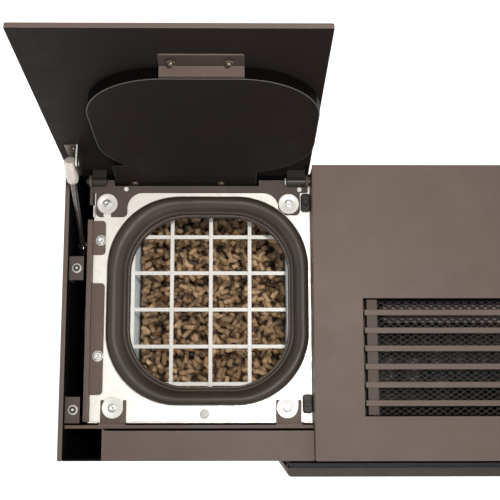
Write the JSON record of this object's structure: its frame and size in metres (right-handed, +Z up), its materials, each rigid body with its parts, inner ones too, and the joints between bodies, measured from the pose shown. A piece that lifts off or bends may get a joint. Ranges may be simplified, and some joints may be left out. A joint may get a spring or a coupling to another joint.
{
  "type": "pellet stove",
  "caption": "Slim wall pellet stove with a left-hand pellet hopper under a strut-held lid, a glazed fire door and a hot-air grille on top.",
  "frame": {"origin": "on the floor, under the middle of the whole stove's box", "axes": "+Z up, -Y towards the room (door side), +X to the stove's right seen from the room"},
  "size_m": [0.93, 0.386, 1.3845],
  "materials": {
    "taupe_coat": "satin bronze-grey powder coat",
    "dark_coat": "near-black satin coat",
    "zinc": "bright galvanised sheet",
    "steel": "turned steel",
    "white_wire": "white coated flat bar",
    "rubber": "satin black-brown rubber",
    "pellets": "pressed wood",
    "black_iron": "matt black cast",
    "fire_steel": "heat-proof matt black",
    "lining": "vermiculite slab",
    "door_glass": "dark ceramic glass",
    "rope": "braided glass-fibre rope",
    "black_plastic": "fine-textured black",
    "board": "circuit board",
    "panel_glass": "gloss black",
    "clear_disc": "pale translucent",
    "strut_black": "gloss black",
    "socket_metal": "die-cast zinc"
  },
  "bodies": {
    "cabinet": {"base_plate": "dark_coat", "adjustable_feet": "black_plastic", "left_side_panel": "taupe_coat", "right_side_panel": "taupe_coat", "rear_panel": "dark_coat", "front_cladding_left": "taupe_coat", "front_cladding_right": "taupe_coat", "lower_front_panel": "taupe_coat", "front_frame": "dark_coat", "top_panel": "taupe_coat", "grille_bars": "taupe_coat", "grille_mesh": "dark_coat", "inner_frame": "zinc", "hopper_deck": "zinc", "hopper_bin": "zinc", "pellet_fill": "pellets", "pellet_grid": "white_wire", "hopper_gasket": "rubber", "front_rail": "taupe_coat", "left_rail": "taupe_coat", "hinge_crossmember": "taupe_coat", "deck_fasteners": "zinc", "cavity_brackets": "taupe_coat", "panel_clips": "black_plastic", "lid_bumper": "clear_disc", "hinge_pins": "steel", "strut_lower_bracket": "zinc", "fire_chamber": "fire_steel", "firebox_lining": "lining", "burn_pot": "black_iron", "pellet_chute": "fire_steel", "igniter": "steel", "auger_tube": "zinc", "auger_gearmotor": "steel", "smoke_fan_housing": "zinc", "air_intake_pipe": "zinc", "convection_blower": "zinc", "control_board": "board", "display_panel": "panel_glass", "power_inlet": "black_plastic"},
    "lid": {"lid_plate": "dark_coat", "inner_lid_plate": "dark_coat", "hinge_barrels": "dark_coat", "lid_tab_bracket": "dark_coat", "lid_fasteners": "steel", "strut_lid_bracket": "zinc"},
    "strut_body": {"strut_cylinder": "strut_black"},
    "strut_piston": {"strut_rod": "steel", "strut_upper_socket": "socket_metal"},
    "fire_door": {"door_cladding": "taupe_coat", "door_frame": "black_iron", "door_gasket": "rope", "door_glass": "door_glass"},
    "door_lever": {"door_handle": "steel"},
    "ash_box": {"ash_drawer": "taupe_coat"},
    "feed_screw": {"auger_screw": "steel"},
    "smoke_wheel": {"smoke_fan_impeller": "steel"},
    "room_air_wheel": {"convection_impeller": "steel"},
    "rocker": {"power_switch": "black_plastic"},
    "reset_key": {"reset_button": "black_plastic"}
  },
  "joints": [
    {"name": "lid_hinge", "type": "hinge", "parent": "cabinet", "child": "lid", "pos_m": [-0.325, 0.124, 1.103], "axis": [1, 0, 0], "range_deg": [0, 98]},
    {"name": "strut_tilt", "type": "hinge", "parent": "cabinet", "child": "strut_body", "pos_m": [-0.4522, -0.012, 0.979], "axis": [1, 0, 0], "range_deg": [0, 4.6]},
    {"name": "strut_stroke", "type": "slide", "parent": "strut_body", "child": "strut_piston", "axis": [0, -0.6165, -0.7874], "range_m": [0, 0.0835]},
    {"name": "door_hinge", "type": "hinge", "parent": "cabinet", "child": "fire_door", "pos_m": [-0.2326, -0.172, 0.78], "axis": [0, 0, -1], "range_deg": [0, 100]},
    {"name": "handle_turn", "type": "hinge", "parent": "fire_door", "child": "door_lever", "pos_m": [0.219, -0.177, 0.78], "axis": [0, 1, 0], "range_deg": [0, 90]},
    {"name": "ash_drawer_slide", "type": "slide", "parent": "cabinet", "child": "ash_box", "axis": [0, -1, 0], "range_m": [0, 0.1]},
    {"name": "auger_spin", "type": "hinge", "parent": "cabinet", "child": "feed_screw", "pos_m": [-0.295, -0.002, 0.57], "axis": [0.7071, 0, 0.7071], "continuous": true},
    {"name": "smoke_fan_spin", "type": "hinge", "parent": "cabinet", "child": "smoke_wheel", "pos_m": [0.265, 0.053, 0.46], "axis": [0, 1, 0], "continuous": true},
    {"name": "room_fan_spin", "type": "hinge", "parent": "cabinet", "child": "room_air_wheel", "pos_m": [0, 0.068, 0.092], "axis": [1, 0, 0], "continuous": true},
    {"name": "switch_rock", "type": "hinge", "parent": "cabinet", "child": "rocker", "pos_m": [0.395, 0.137, 0.171], "axis": [-1, 0, 0], "range_deg": [0, 18]},
    {"name": "reset_press", "type": "slide", "parent": "cabinet", "child": "reset_key", "axis": [0, -1, 0], "range_m": [0, 0.002], "stiffness_N_per_m": 600}
  ],
  "couplings": [
    {"joint": "strut_tilt", "follows": "lid_hinge", "ratio": 0.046802},
    {"joint": "strut_stroke", "follows": "lid_hinge", "m_per_rad": 0.048752}
  ]
}
